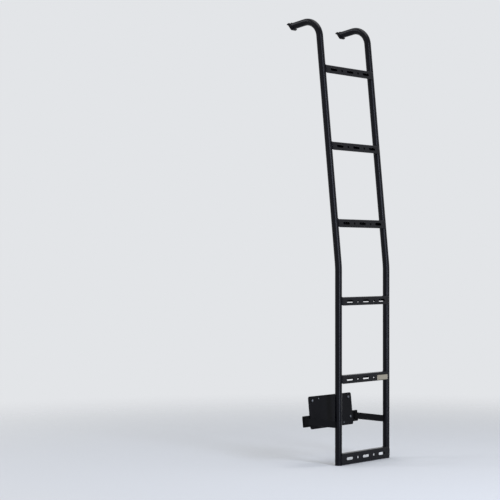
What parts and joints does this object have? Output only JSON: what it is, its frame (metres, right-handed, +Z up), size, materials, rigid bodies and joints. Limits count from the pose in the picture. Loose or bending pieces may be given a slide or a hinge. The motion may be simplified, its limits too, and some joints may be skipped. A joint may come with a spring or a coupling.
{
  "type": "van rear door ladder",
  "caption": "Tall tubular ladder with slotted channel rungs that hooks over a van door's top edge and bolts on low down through a plate bracket.",
  "frame": {"origin": "middle of the cross bar's back face, where the bracket rests on the door", "axes": "+X to the right seen from behind the vehicle, +Y forwards into the vehicle, +Z up along the rails' lower half"},
  "size_m": [0.575, 0.3048, 2.0472],
  "materials": {
    "black_powder_coat": "satin fine-grained black powder coat on steel",
    "bracket_black": "flat black electrocoat on steel",
    "bright_zinc": "bright zinc plate on steel fasteners",
    "pad_rubber": "matte black rubber",
    "plug_plastic": "moulded black plastic",
    "badge_metal": "brushed pale gold anodised sheet, bare"
  },
  "bodies": {
    "root": {"badge_plate": "badge_metal", "cross_bar": "bracket_black", "left_arm": "bracket_black", "left_hook_pad": "pad_rubber", "left_hook_plate": "black_powder_coat", "left_rail": "black_powder_coat", "left_rail_plug": "plug_plastic", "left_spacer": "bracket_black", "mount_plate": "bracket_black", "right_arm": "bracket_black", "right_hook_pad": "pad_rubber", "right_hook_plate": "black_powder_coat", "right_rail": "black_powder_coat", "right_rail_plug": "plug_plastic", "right_spacer": "bracket_black", "rung_1": "black_powder_coat", "rung_2": "black_powder_coat", "rung_3": "black_powder_coat", "rung_4": "black_powder_coat", "rung_5": "black_powder_coat", "rung_6": "black_powder_coat"}
  },
  "joints": []
}
